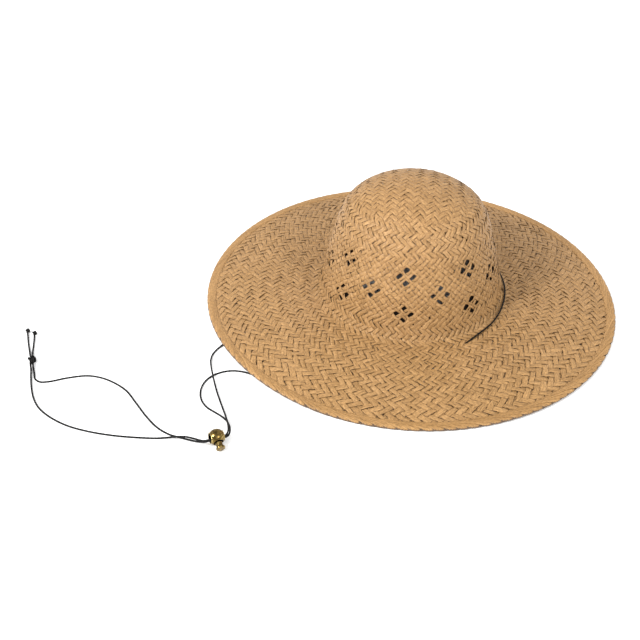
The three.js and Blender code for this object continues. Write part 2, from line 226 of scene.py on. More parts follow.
def ring_directions(path, sides):
    """Directions out from a path, all round each of its points, twisting as little as they can."""
    tangent = np.gradient(path, axis=0)
    tangent /= np.linalg.norm(tangent, axis=1)[:, None]
    across = np.zeros_like(path)
    start = np.cross(tangent[0], (0.0, 0.0, 1.0))
    across[0] = start / np.linalg.norm(start)
    for i in range(1, len(path)):
        turned = across[i - 1] - tangent[i] * (across[i - 1] @ tangent[i])
        across[i] = turned / np.linalg.norm(turned)
    up = np.cross(tangent, across)
    a = np.arange(sides) * 2.0 * math.pi / sides
    return across[:, None, :] * np.cos(a)[:, None] + up[:, None, :] * np.sin(a)[:, None]


# ---- materials ----
class Recipe:
    """A node material being built. A value may be a number, a colour or another node's output."""

    def __init__(self, name):
        self.material = bpy.data.materials.new(name)
        self.material.use_nodes = True
        self.tree = self.material.node_tree
        self.tree.nodes.clear()
        self.shader = self.tree.nodes.new("ShaderNodeBsdfPrincipled")
        output = self.tree.nodes.new("ShaderNodeOutputMaterial")
        self.tree.links.new(self.shader.outputs[0], output.inputs[0])

    def put(self, socket, value):
        if isinstance(value, bpy.types.NodeSocket):
            self.tree.links.new(value, socket)
        elif isinstance(value, tuple) and len(value) == 3 and socket.type == "RGBA":
            socket.default_value = (*value, 1.0)
        else:
            socket.default_value = value

    def node(self, kind, output=0, settings=None, **values):
        made = self.tree.nodes.new("ShaderNode" + kind)
        for key, value in (settings or {}).items():
            setattr(made, key, value)
        for key, value in values.items():
            socket = made.inputs[int(key[1:])] if key[0] == "i" and key[1:].isdigit() else made.inputs[key]
            self.put(socket, value)
        return made.outputs[output]

    def math(self, operation, a, b=0.0, clamp=False):
        return self.node("Math", settings={"operation": operation, "use_clamp": clamp}, i0=a, i1=b)

    def times(self, a, b, clamp=False):
        return self.math("MULTIPLY", a, b, clamp)

    def plus(self, a, b):
        return self.math("ADD", a, b)

    def minus(self, a, b, clamp=False):
        return self.math("SUBTRACT", a, b, clamp)

    def mix(self, share, a, b, blend="MIX"):
        return self.node("Mix", 2, {"data_type": "RGBA", "blend_type": blend}, i0=share, i6=a, i7=b)

    def ramp(self, value, stops):
        made = self.tree.nodes.new("ShaderNodeValToRGB")
        self.put(made.inputs[0], value)
        elements = made.color_ramp.elements
        for index, (position, color) in enumerate(stops):
            element = elements[index] if index < 2 else elements.new(position)
            element.position = position
            element.color = (*color, 1.0)
        return made.outputs[0]

    def split(self, vector):
        parts = self.tree.nodes.new("ShaderNodeSeparateXYZ")
        self.put(parts.inputs[0], vector)
        return parts.outputs

    def noise(self, vector, scale, detail, roughness):
        return self.node("TexNoise", 0, Vector=vector, Scale=scale, Detail=detail, Roughness=roughness)

    def stretch(self, vector, x, y, z):
        return self.node("VectorMath", 0, {"operation": "MULTIPLY"}, i0=vector, i1=(x, y, z))

    def bump(self, height, strength, distance):
        return self.node("Bump", 0, Strength=strength, Distance=distance, Height=height)

    def surface(self, **values):
        for key, value in values.items():
            self.put(self.shader.inputs[key.replace("_", " ")], value)
        return self.material


# How finely the fibres run, per metre of a strand and round it.
FIBRE_ALONG = 260.0
FIBRE_ACROSS = 42.0
STRAND_SEED = 71.0
# Where the straw's dark, middle and light tones lie on the scale of its lightness.
TONE_STOPS = (0.4, 0.54, 0.67)
# How strongly short streaks of light and dark show in the straw.
GRAIN = 2.7
# Painted light: how quickly the straw goes from its warmer, lit front to its greyer, shaded back, per
# metre.
PAINTED_LIGHT_SLOPE = 3.5
PAINTED_FRONT_LIGHT_TINT = (0.93, 0.86, 0.735)
PAINTED_BACK_SHADE_TINT = (0.97, 0.91, 0.84)
# Inside the crown, as far out as this in metres, painted shade darkens the strands' inner faces, which
# begin this share of the way round a strand.
INSIDE_RADIUS = 0.096
INNER_FACES_FROM = 0.7
INSIDE_SHADE = 0.7
# Painted shade in the crack beside a strand: how softly it starts, its dashes, and their share of its
# darkness.
CRACK_FADE = 0.03
DASH_ALONG = 240.0
DASH_CONTRAST = 14.0
DASH_SHARE = 0.86
CRACK_SHADE_COLOR = (0.05, 0.02, 0.008)
# Painted shade along the hem's lower edge: its strength and colour.
HEM_SHADE = 0.85
HEM_SHADE_COLOR = (0.06, 0.043, 0.036)


def straw_base(r, place_on, lane, tone, tones):
    """The straw's colour, with painted light and shade (warmer in front, greyer behind), and the fibres for
    its bumps.
    """
    fibre = r.noise(lane, 1.0, 3.0, 0.65)
    streak = r.noise(r.stretch(lane, 0.12, 0.3, 1.0), 1.0, 2.0, 0.5)
    patch = r.noise(place_on, 14.0, 2.0, 0.5)
    speck = r.noise(place_on, 520.0, 3.0, 0.7)
    level = 0.0
    for part, share in ((fibre, 0.45), (streak, 0.3), (tone, 0.1), (speck, 0.25)):
        level = r.plus(level, r.times(part, share))
    grain = r.noise(r.stretch(lane, 1.5, 0.62, 1.0), 1.0, 3.0, 0.7)
    grain = r.plus(r.times(grain, GRAIN), 1.0 - GRAIN / 2)
    # Painted light and shade: along y the front is tinted warmer and the back greyer, over random patches
    # of tone.
    patch_and_painted_light = r.minus(r.times(patch, 1.6), r.times(r.split(place_on)[1], PAINTED_LIGHT_SLOPE))
    tint = r.mix(r.minus(patch_and_painted_light, 0.5, True), PAINTED_BACK_SHADE_TINT, PAINTED_FRONT_LIGHT_TINT)
    base = r.mix(1.0, r.ramp(level, list(zip(TONE_STOPS, tones))), tint, "MULTIPLY")
    return r.mix(1.0, base, grain, "MULTIPLY"), fibre


def inside_of_crown(r, place_on, v):
    away = r.node("VectorMath", 1, {"operation": "LENGTH"}, i0=r.stretch(place_on, 1.0, 1.0, 0.0))
    return r.times(r.math("LESS_THAN", away, INSIDE_RADIUS), r.math("GREATER_THAN", v, INNER_FACES_FROM))


def painted_crack_shade(r, u, v, seed, edge_places, edge_half):
    """How dark the painted shade in the cracks along a strand's edges is, in dashes that differ from edge
    to edge.
    """
    near = [r.math("ABSOLUTE", r.minus(v, edge)) for edge in edge_places]
    near = r.math("MINIMUM", r.math("MINIMUM", near[0], near[1]), near[2])
    crack_shade = r.minus(1.0, r.math("DIVIDE", r.minus(near, edge_half), CRACK_FADE), True)
    other_edge = r.times(r.math("GREATER_THAN", v, 0.3), 9.0)
    run = r.node("CombineXYZ", 0, i0=r.times(u, DASH_ALONG), i1=other_edge, i2=seed)
    dash = r.times(r.minus(r.noise(run, 1.0, 1.0, 0.5), 0.5), DASH_CONTRAST, True)
    return r.times(crack_shade, r.plus(1.0 - DASH_SHARE, r.times(dash, DASH_SHARE)))


def straw_material(name, tones, crack_shade_depth, edge_places, edge_half):
    """Split palm leaf: long fibres, each strand nearly one tone, with dark dashes of painted shade along
    its edges.

    tones are the dark, middle and light colours. edge_places say where, across the "strand" UV, the
    strip's edges lie. A negative "tone" paints shade on the straw.
    """
    r = Recipe(name)
    place_on = r.node("TexCoord", 3)
    u, v, _ = r.split(r.node("UVMap", 0, {"uv_map": "strand"}))
    raw_tone = r.node("Attribute", 2, {"attribute_name": "tone"})
    tone = r.math("ABSOLUTE", raw_tone)
    seed = r.times(tone, STRAND_SEED)
    lane = r.node("CombineXYZ", 0, i0=r.times(u, FIBRE_ALONG), i1=r.times(v, FIBRE_ACROSS), i2=seed)
    base, fibre = straw_base(r, place_on, lane, tone, tones)
    # Painted shade on the strands' inner faces inside the crown.
    inside = r.times(inside_of_crown(r, place_on, v), INSIDE_SHADE)
    base = r.mix(inside, base, (0.0, 0.0, 0.0))
    # Painted shade in the cracks along the strand's edges.
    crack_shade = r.times(painted_crack_shade(r, u, v, seed, edge_places, edge_half), crack_shade_depth)
    color = r.mix(crack_shade, base, CRACK_SHADE_COLOR, "MULTIPLY")
    # Painted shade under the hem's edge, where "tone" is negative.
    shade = r.times(raw_tone, -1.0, True)
    color = r.mix(r.times(shade, HEM_SHADE), color, HEM_SHADE_COLOR)
    normal = r.bump(fibre, 0.3, 0.00012)
    return r.surface(Base_Color=color, Roughness=0.5, Normal=normal, Specular_IOR_Level=0.25)


def cord_material():
    """Black waxed cotton: nearly black, with a dull wax shine that is broken by the braid."""
    r = Recipe("waxed_black_cord")
    place_on = r.node("TexCoord", 3)
    wax = r.noise(place_on, 350.0, 3.0, 0.6)
    fluff = r.noise(place_on, 2600.0, 2.0, 0.6)
    color = r.ramp(wax, [(0.3, (0.002, 0.002, 0.002)), (0.7, (0.006, 0.0055, 0.005))])
    rough = r.plus(0.34, r.times(fluff, 0.24))
    return r.surface(Base_Color=color, Roughness=rough, Normal=r.bump(fluff, 0.4, 0.0001),
                     Specular_IOR_Level=0.12)


def brass_material(name, dark_within, bright_from):
    """Antique brass, black inside the ball and rubbed bright on its rim.

    dark_within and bright_from are distances from the middle of the ball.
    """
    r = Recipe(name)
    place_on = r.node("TexCoord", 3)
    away = r.node("VectorMath", 1, {"operation": "DISTANCE"}, i0=place_on, i1=tuple(BALL_CENTRE * MM))
    away = r.math("DIVIDE", away, MM)
    deep = r.math("DIVIDE", r.minus(dark_within, away), 0.3, True)
    rim = r.math("DIVIDE", r.minus(away, bright_from), 0.15, True)
    cloud = r.noise(place_on, 420.0, 4.0, 0.6)
    pits = r.noise(place_on, 2400.0, 2.0, 0.6)
    worn = r.plus(r.times(cloud, 1.05), r.times(rim, 0.2))
    color = r.ramp(worn, [
        (0.25, (0.03, 0.018, 0.008)), (0.53, (0.16, 0.105, 0.03)), (0.85, (0.66, 0.5, 0.2)),
    ])
    color = r.mix(deep, color, (0.004, 0.003, 0.003))
    rough = r.plus(0.08, r.times(cloud, 0.2))
    return r.surface(Base_Color=color, Metallic=1.0, Roughness=rough, Normal=r.bump(pits, 0.12, 0.0001))


def steel_material():
    r = Recipe("steel_wire")
    place_on = r.node("TexCoord", 3)
    drawn = r.noise(place_on, 1500.0, 2.0, 0.5)
    color = r.ramp(drawn, [(0.3, (0.32, 0.32, 0.31)), (0.7, (0.56, 0.56, 0.54))])
    return r.surface(Base_Color=color, Metallic=1.0, Roughness=0.32, Normal=r.bump(drawn, 0.1, 0.0001))


def tape_material():
    """Dark brown cotton tape with close ribs, darkened nearly to black as painted shade where it shows
    through the vents.
    """
    r = Recipe("cotton_tape")
    uv = r.node("UVMap", 0, {"uv_map": "strand"})
    threads = r.noise(r.stretch(uv, 2600.0, 60.0, 1.0), 1.0, 2.0, 0.6)
    wear = r.noise(r.node("TexCoord", 3), 60.0, 3.0, 0.5)
    # Painted shade: the tape's colours are held near black.
    color = r.ramp(r.plus(r.times(threads, 0.6), r.times(wear, 0.4)),
                   [(0.3, (0.003, 0.0025, 0.002)), (0.7, (0.013, 0.0095, 0.0075))])
    return r.surface(Base_Color=color, Roughness=0.9, Normal=r.bump(threads, 0.5, 0.0002),
                     Specular_IOR_Level=0.03)


# ---- the cords ----
CORD_DIAMETER = 1.7
CORD_SIDES = 16
BRAID_STEP = 0.36
BRAID_PITCH = 6.4
BRAID_DEPTH = 0.13
HAT_CORD_SIDE = [
    (103, 110.6, 1), (99.5, 109.6, 1.5), (95.5, 108.6, 3), (92, 107.8, 4.8), (88.5, 106.6, 6.3),
    (84.5, 104.9, 6.8), (78, 102.8, 6.9), (71, 101.6, 6.9), (64, 100.3, 7.1), (57, 99.2, 7.4),
    (50, 98.3, 7.8), (41, 97.7, 8.1), (30, 97.6, 8.2), (15, 97.6, 8.2), (0, 97.6, 8.2),
]
LEFT_CORD_TO_LOCK = [
    (-68.3, 85.3, 1), (-90, 66, 0.9), (-110, 43, 0.9), (-128, 18, 0.9), (-143.5, -9, 0.9), (-157, -36, 0.9),
    (-168.5, -62, 0.9), (-177.5, -81, 0.9), (-185, -94.5, 0.9), (-190.5, -102.5, 0.9), (-193.8, -110, 1),
    (-194.5, -119, 1.5), (-192.8, -129.5, 2.4), (-190.6, -139, 2.9), (-188, -149, 2.4), (-184.5, -161, 1.4),
    (-180.5, -172.5, 0.9), (-176.5, -184, 1.2), (-173.3, -193.5, 2.4), (-171, -201.5, 3.8),
    (-169.6, -208.5, 5), (-169.2, -214, 6), (-170.3, -218.8, 6.6),
]
LEFT_CORD_FROM_LOCK = [
    (-187.3, -227.3, 8.4), (-191, -226.3, 8), (-196, -223.6, 7), (-203, -220.1, 5.4), (-210.5, -217.9, 3.4),
    (-219, -217.2, 1.7), (-229, -217.3, 0.9), (-249, -216.2, 0.9), (-267, -214, 0.9), (-288, -209.5, 0.9),
    (-308, -202.5, 0.9), (-325, -192.5, 0.9), (-337.5, -181.5, 0.9), (-345.5, -169.5, 0.9),
    (-351.5, -155.5, 0.9), (-356.2, -141, 0.9), (-359, -131, 1.3), (-361.2, -124.4, 2.4),
]
LEFT_TAIL = [
    (-363.6, -115.6, 2.6), (-365.8, -110.6, 1.4), (-369.5, -101, 0.9), (-373.3, -91, 0.9),
    (-376.4, -81.6, 1.3), (-377.2, -79, 1.7),
]
RIGHT_CORD_TO_LOCK = [
    (26.1, -108.2, 1), (0, -115.5, 0.9), (-30, -124.5, 0.9), (-60, -133, 0.9), (-90, -140, 0.9),
    (-118, -143.8, 0.9), (-140, -142.3, 0.9), (-154.6, -137.6, 0.9), (-163, -134.4, 0.9),
    (-171.7, -132.9, 0.9), (-181, -134.2, 0.9), (-190.4, -139.4, 0.9), (-196, -146.3, 0.9),
    (-198.8, -155.1, 0.9), (-198.9, -163.9, 0.9), (-196.4, -172.8, 0.9), (-191, -180.8, 0.9),
    (-183.7, -186.6, 0.9), (-177, -192, 0.9), (-171.9, -198.2, 1.3), (-169.2, -204.6, 2.3),
    (-168, -211, 3.5), (-168.6, -216.6, 4.3), (-170.5, -219.4, 4.8),
]
RIGHT_CORD_FROM_LOCK = [
    (-187.7, -226.8, 6.5), (-191.2, -226.1, 5.9), (-196, -224, 4.5), (-203, -220.4, 2.8),
    (-210.3, -216.6, 1.3), (-219.1, -213, 0.9), (-230.2, -205.3, 0.9), (-242.4, -191.5, 0.9),
    (-254, -175.2, 0.9), (-265.9, -159.3, 0.9), (-279.9, -148.3, 0.9), (-293.4, -141.8, 0.9),
    (-306, -139.7, 0.9), (-323.4, -142.8, 0.9), (-337.2, -147.3, 0.9), (-346.1, -147.9, 0.9),
    (-351.6, -143.9, 0.9), (-354.2, -137, 0.9), (-356.8, -130.2, 1.3), (-358.9, -124.2, 2.4),
]
RIGHT_TAIL = [
    (-361.2, -115.2, 2.7), (-363.4, -110.2, 1.4), (-365.7, -101, 0.9), (-367.8, -91, 0.9),
    (-369.4, -84, 1.3), (-369.9, -81.8, 1.7),
]

# The lock's own directions: out along the plunger, along the cords, and across them.
BALL_CENTRE = np.array((-178.0, -221.6, 7.05))
PLUNGER_YAW = math.radians(23.5)
PLUNGER_PITCH = math.radians(16.0)
CORD_RISE = math.radians(8.0)
PLUNGER_AXIS = np.array((
    math.sin(PLUNGER_YAW) * math.cos(PLUNGER_PITCH),
    -math.cos(PLUNGER_YAW) * math.cos(PLUNGER_PITCH),
    -math.sin(PLUNGER_PITCH),
))
LEVEL_AXIS = np.array((-math.cos(PLUNGER_YAW), -math.sin(PLUNGER_YAW), 0.0))
CORD_AXIS = LEVEL_AXIS * math.cos(CORD_RISE) + np.cross(LEVEL_AXIS, PLUNGER_AXIS) * math.sin(CORD_RISE)
CROSS_AXIS = np.cross(CORD_AXIS, PLUNGER_AXIS)
CORDS_AT_P = 1.7
CORDS_AT_Q = 0.95
LOCK_SPAN = (-5.0, 7.0)


def lock_point(c, p, q):
    return BALL_CENTRE + CORD_AXIS * c + PLUNGER_AXIS * p + CROSS_AXIS * q


def through_lock(q):
    return [tuple(lock_point(c, CORDS_AT_P, q)) for c in LOCK_SPAN]


def crown_cord_point(from_back, radius, height, side):
    a = math.radians(BACK_ANGLE + side * from_back)
    return (CROWN_SHIFT + radius * math.cos(a), radius * math.sin(a), height)


def braided_tube(path, radius):
    """The rings of a round braid: two families of ridges that cross, standing a little proud."""
    along = distances(path)
    a = np.arange(CORD_SIDES) * 2.0 * math.pi / CORD_SIDES
    turn = along[:, None] * (2.0 * math.pi / (BRAID_PITCH * MM))
    relief = np.cos(4.0 * a - turn) * np.cos(4.0 * a + turn)
    r = radius * (1.0 - BRAID_DEPTH * (0.5 - 0.5 * relief))
    return path[:, None, :] + r[..., None] * ring_directions(path, CORD_SIDES), along


def add_cord(name, route, material, replaced):
    path = curve_through(np.array(route) * MM, BRAID_STEP * MM)
    grid, along = braided_tube(path, CORD_DIAMETER / 2 * MM)
    mesh = strips_mesh(name, [(grid, along, 0.5)])
    cord = add_piece(name, mesh, "hat", material, replaced)


KNOT_SAMPLES = 220
# Two cords in one knot lie this many radii apart, and one loop is larger than the other by this share.
KNOT_SPACING = 1.1
KNOT_SIZE_STEP = 0.12
FLOOR_GAP = 0.02


def add_knot(name, centre, halves, turn, strands, material, replaced):
    """An overhand knot pulled tight, of one cord or of two side by side."""
    t = np.linspace(0.0, 2.0 * math.pi, KNOT_SAMPLES)
    radius = CORD_DIAMETER / 2
    loop = np.column_stack([np.sin(t) + 2 * np.sin(2 * t), np.cos(t) - 2 * np.cos(2 * t), -np.sin(3 * t)])
    room = np.array(halves) - radius * np.array((1.0, 1.0, 1.0))
    loop *= room / np.abs(loop).max(axis=0)
    c, s = math.cos(math.radians(turn)), math.sin(math.radians(turn))
    loop = loop @ np.array(((c, s, 0.0), (-s, c, 0.0), (0.0, 0.0, 1.0)))
    strips = []
    for k in range(strands):
        off_middle = k - (strands - 1) / 2
        shift = (0.0, 0.0, off_middle * radius * KNOT_SPACING)
        size = 1.0 - KNOT_SIZE_STEP * off_middle
        path = (loop * size + np.array(centre) + np.array(shift)) * MM
        grid, along = braided_tube(path, radius * MM)
        grid[..., 2] = np.maximum(grid[..., 2], FLOOR_GAP * MM)
        strips.append((grid, along, 0.5))
    return add_piece(name, strips_mesh(name, strips), "hat", material, [replaced])


def add_cords(material):
    double_knot = add_knot("knot_of_both", (-361, -119.8, 3.2), (3.5, 4, 3), 15, 2, material, "double_knot")
    left_knot = add_knot("knot_left", (-378.2, -75.6, 2.1), (2.2, 3, 2), 15, 1, material, "end_knot_left")
    right_knot = add_knot(
        "knot_right", (-370.5, -79, 2.1), (2.2, 2.4, 2), 12, 1, material, "end_knot_right"
    )
    right_side = [crown_cord_point(*point, -1) for point in HAT_CORD_SIDE]
    left_side = [crown_cord_point(*point, 1) for point in HAT_CORD_SIDE[:-1]][::-1]
    add_cord("braid_round_crown", right_side + left_side, material, ["crown_cord"])
    left_route = LEFT_CORD_TO_LOCK + through_lock(CORDS_AT_Q) + LEFT_CORD_FROM_LOCK + LEFT_TAIL
    right_route = RIGHT_CORD_TO_LOCK + through_lock(-CORDS_AT_Q) + RIGHT_CORD_FROM_LOCK + RIGHT_TAIL
    left_nodes, right_nodes = ["chin_cord_left", "cord_tail_left"], ["chin_cord_right", "cord_tail_right"]
    add_cord("braid_left", left_route, material, left_nodes)
    add_cord("braid_right", right_route, material, right_nodes)


# ---- the weave ----
BLEND_ROWS = 6.0
# The first strands start this many rows inside the seam, and later ones this share of BLEND_ROWS
# before their zone.
FIRST_START = (0.2, 1.4)
LATER_START = (0.15, 0.45)
NEW_STRAND_WIDTH = 0.35
WIDTH_SPREAD = (-0.13, 0.06)
WIDTH_WANDER = 0.06
STRAND_THICKNESS = 0.42
OVER_UNDER = 0.4
SIDEWAYS = 0.36
LIFT_WANDER = 0.09
TILT_WANDER = 0.55
TUCK = 0.55
SAMPLES_PER_ROW = 3
DISC_PITCH = 4.7
DISC_TURN = 37.0
DISC_RADIUS = 57.5
DISC_WIDTH_SPREAD = (-0.03, 0.06)
DISC_SIDEWAYS = 0.2
DISC_LIFT_WANDER = 0.05
DISC_TILT_WANDER = 0.35
DISC_OVER_UNDER = 0.3
DISC_END_SPREAD = (-1.0, 1.5)
DISC_END_DROP = 0.3
SEAM_RADIUS = 55.5
# Strands of each hand round the hat, from each radius outwards.
STRAND_COUNTS = [(0.0, 64), (72.0, 80), (90.6, 96), (110.0, 112), (127.0, 128)]
# Rows of crossings lie this far apart at each radius.
ROW_SPACING = [(50.0, 3.05), (88.0, 3.13), (110.0, 3.4), (150.0, 3.5), (203.0, 3.55)]
PLAIN_TOP = 74.0
PLAIN_BOTTOM = 22.5
VENT_HEIGHT = 49.7
VENT_ANGLE = -100.0
VENT_RADIUS = 84.0
VENT_ROWS = 6
VENT_CLUSTERS = 8
VENT_STRANDS = 80
VENT_HALF = (1.55, 2.35)
VENT_REACH = 4.2
VENT_SIZE_SPREAD = (0.8, 1.3)
VENT_SHIFT = 0.45
STRAND_SECTION = np.array(((-0.5, 0.0), (-0.44, 0.42), (0.0, 0.55), (0.44, 0.42), (0.5, 0.0), (0.0, -0.5)))


class StrawLine:
    """The middle of the straw from the crown's top outwards, by the distance s along it."""

    def __init__(self, line):
        mirrored = [(-r, z) for r, z in line[1:3]][::-1]
        fine = curve_through(mirrored + line, 0.5)
        fine = fine[fine[:, 0] >= 0.0]
        fine[0, 0] = 0.0
        self.r, self.z = fine[:, 0], fine[:, 1]
        self.s = np.concatenate([[0.0], np.cumsum(np.hypot(np.diff(self.r), np.diff(self.z)))])
        self.nr = -np.gradient(self.z, self.s)
        self.nz = np.gradient(self.r, self.s)

    def at(self, s):
        return [np.interp(s, self.s, values) for values in (self.r, self.z, self.nr, self.nz)]

    def s_of_radius(self, radius):
        return float(np.interp(radius, self.r, self.s))

    def s_of_height(self, height):
        crown = self.r < CREASE_RADIUS
        return float(np.interp(-height, -self.z[crown], self.s[crown]))


straw = StrawLine(STRAW_LINE)


def brim_rise(angle):
    """How far the brim's edge rises at an angle in radians, as in the CAD."""
    degrees = np.degrees(angle)
    ripple = (1.0 - np.cos(np.radians(4.0 * (degrees - REST_ANGLE)))) / 2.0
    rippled = np.maximum(0.0, ripple - RIPPLE_FLAT) / (1.0 - RIPPLE_FLAT)
    away = (degrees - CORD_LIFT_ANGLE + 180.0) % 360.0 - 180.0
    lifted = CORD_LIFT * np.exp(-((away / CORD_LIFT_WIDTH) ** 2)) * smooth(rippled * 2.0)
    return RIPPLE_HEIGHT * rippled + lifted


def settle(r, angle, z):
    """A point of the round hat, in metres, with the hat's lean and the brim's rise and fall."""
    outward = smooth((r - CREASE_RADIUS) / (BRIM_RADIUS - HEM_WIDTH - CREASE_RADIUS))
    shift = (CROWN_SHIFT - CROWN_LEAN * z) * (1.0 - outward)
    x = r * np.cos(angle) + shift
    y = r * np.sin(angle)
    return np.stack([x, y, z + brim_rise(angle) * outward], axis=-1) * MM


def place(angle, s, lift):
    r, z, nr, nz = straw.at(s)
    return settle(r + nr * lift, angle, z + nz * lift)


class Rows:
    """Numbers the rows of crossings from the shoulder to the hem, and says where each one lies.

    New strands come in at even rows, the zones' starts. "drift" is how far a strand has turned round the
    hat by a row: half a strand's place from each row to the next.
    """

    def __init__(self):
        radii, spacings = zip(*ROW_SPACING)
        spacing = np.interp(straw.r, radii, spacings)
        steps = np.diff(straw.s) / ((spacing[1:] + spacing[:-1]) / 2)
        n = np.concatenate([[0.0], np.cumsum(steps)])
        self.n = n - np.interp(straw.s_of_height(VENT_HEIGHT), straw.s, n) + 1.0
        self.counts = [count for _, count in STRAND_COUNTS]
        starts = [self.row_of(straw.s_of_radius(max(start, SEAM_RADIUS))) for start, _ in STRAND_COUNTS]
        self.zones = [2 * round(start / 2) for start in starts]

    def row_of(self, s):
        return float(np.interp(s, straw.s, self.n))

    def s_of(self, n):
        return np.interp(n, self.n, straw.s)

    def drift(self, n):
        total = (n - self.zones[0]) * math.pi / self.counts[0]
        for zone in range(1, len(self.zones)):
            change = math.pi / self.counts[zone] - math.pi / self.counts[zone - 1]
            total = total + np.maximum(n - self.zones[zone], 0.0) * change
        return total

    def count_at(self, n):
        total = np.full(n.shape, float(self.counts[0]))
        for zone in range(1, len(self.zones)):
            change = self.counts[zone] - self.counts[zone - 1]
            total += change * smooth((n - self.zones[zone]) / BLEND_ROWS + 0.5)
        return total


rows = Rows()
PLAIN_FROM = round(rows.row_of(straw.s_of_height(PLAIN_TOP)))
PLAIN_TO = round(rows.row_of(straw.s_of_height(PLAIN_BOTTOM)))
FIRST_ROW = rows.row_of(straw.s_of_radius(SEAM_RADIUS))
LAST_ROW = rows.row_of(straw.s_of_radius(BRIM_RADIUS - HEM_WIDTH + 1.5))


def side_of_row(k):
    """+1 where the right-hand strands lie on top in row k, -1 where they lie below."""
    plain = (k >= PLAIN_FROM) & (k < PLAIN_TO)
    return np.where(plain, 1 - 2 * (k % 2), np.where(k % 4 < 2, 1, -1))


def over_under(n):
    k = np.floor(n).astype(int)
    share = smooth(n - k)
    return side_of_row(k) * (1.0 - share) + side_of_row(k + 1) * share


def wander(count, size):
    """A random wave along a strand, with a turn every row and a half or so."""
    steps = rng.normal(0.0, 1.0, max(4, count // 5 + 4))
    return size * np.interp(np.linspace(0, len(steps) - 1, count), np.arange(len(steps)), steps)


def skin_lifts(lift, tilt):
    """The heights of a strand's skin: its middle's, its section, and a tilt that wanders."""
    shape = STRAND_SECTION[:, 1] * STRAND_THICKNESS
    return lift[:, None] + shape + STRAND_SECTION[:, 0] * wander(len(lift), tilt)[:, None]


def wrapped(angle):
    return (angle + math.pi) % (2.0 * math.pi) - math.pi


def strands_of_hand(hand):
    """Each strand of one hand: the zone it comes in at, and its base angles from that zone on."""
    unit = 2.0 * math.pi / rows.counts[0]
    strands = [(0, slot, [slot * unit]) for slot in range(rows.counts[0])]
    for zone in range(1, len(rows.zones)):
        before, after = rows.counts[zone - 1], rows.counts[zone]
        passed = hand * (rows.zones[zone] - rows.zones[zone - 1]) // 2
        turned = hand * float(rows.drift(np.array(rows.zones[zone])))
        unit = 2.0 * math.pi / after
        moved = {}
        for first, slot, angles in strands:
            here = math.floor((slot + passed) * after / before + 0.5)
            moved[here % after] = (first, here, angles + [here * unit - turned])
        strands = [moved.get(slot, (zone, slot, [slot * unit - turned])) for slot in range(after)]
    return [(first, angles) for first, _, angles in strands]


def strand_angle(first_zone, bases, n):
    """The base angle of a strand at rows n. It moves a little where new strands come in beside it."""
    angle = np.full(n.shape, bases[0])
    for k in range(1, len(bases)):
        change = wrapped(bases[k] - bases[k - 1])
        angle = angle + change * smooth((n - rows.zones[first_zone + k]) / BLEND_ROWS + 0.5)
    return angle


def vent_centres():
    """Each hole as (angle, s, half size across right-hand strands, and across left-hand ones)."""
    unit = math.pi / VENT_STRANDS
    cluster_step = 2 * VENT_STRANDS // VENT_CLUSTERS
    small, large = VENT_HALF
    holes = []
    for ring in (-1, 0, 1):
        row = 1 + VENT_ROWS * ring
        for cluster in range(VENT_CLUSTERS):
            m = cluster_step * cluster + (cluster_step // 2 if ring == 0 else 0)
            for dm, dn, right, left in ((-2, 0, large, small), (2, 0, large, small),
                                        (0, -2, large, small), (0, 2, small, large)):
                size = rng.uniform(*VENT_SIZE_SPREAD, 2)
                shift = rng.uniform(-VENT_SHIFT, VENT_SHIFT, 2)
                angle = math.radians(VENT_ANGLE) + (m + dm) * unit + shift[0] / VENT_RADIUS
                holes.append((angle, rows.s_of(row + dn) + shift[1], right * size[0], left * size[1]))
    return np.array(holes)


VENTS = vent_centres()


def open_vents(angle, s, centre_angle, centre_s, tangent, lateral, hand):
    """Pushes the strands apart round each hole. The arrays are [samples, points across]."""
    radius = straw.at(centre_s)[0][:, None]
    moved_angle, moved_s = angle.copy(), s.copy()
    half_sizes = VENTS[:, 2] if hand > 0 else VENTS[:, 3]
    for (hole_angle, hole_s, _, _), half in zip(VENTS, half_sizes):
        x = wrapped(angle - hole_angle) * radius
        y = s - hole_s
        if np.min(np.hypot(x, y)) > 3.0 * VENT_REACH:
            continue
        cx = wrapped(centre_angle - hole_angle) * radius[:, 0]
        cy = centre_s - hole_s
        side = np.sign(cx * lateral[:, 0] + cy * lateral[:, 1])[:, None]
        v = (x * lateral[:, :1] + y * lateral[:, 1:]) * side
        t = x * tangent[:, :1] + y * tangent[:, 1:]
        push = side * half * np.exp(-((v / VENT_REACH) ** 2)) * np.exp(-(np.abs(t / VENT_REACH) ** 3))
        moved_angle = moved_angle + push * lateral[:, :1] / radius
        moved_s = moved_s + push * lateral[:, 1:]
    return moved_angle, moved_s


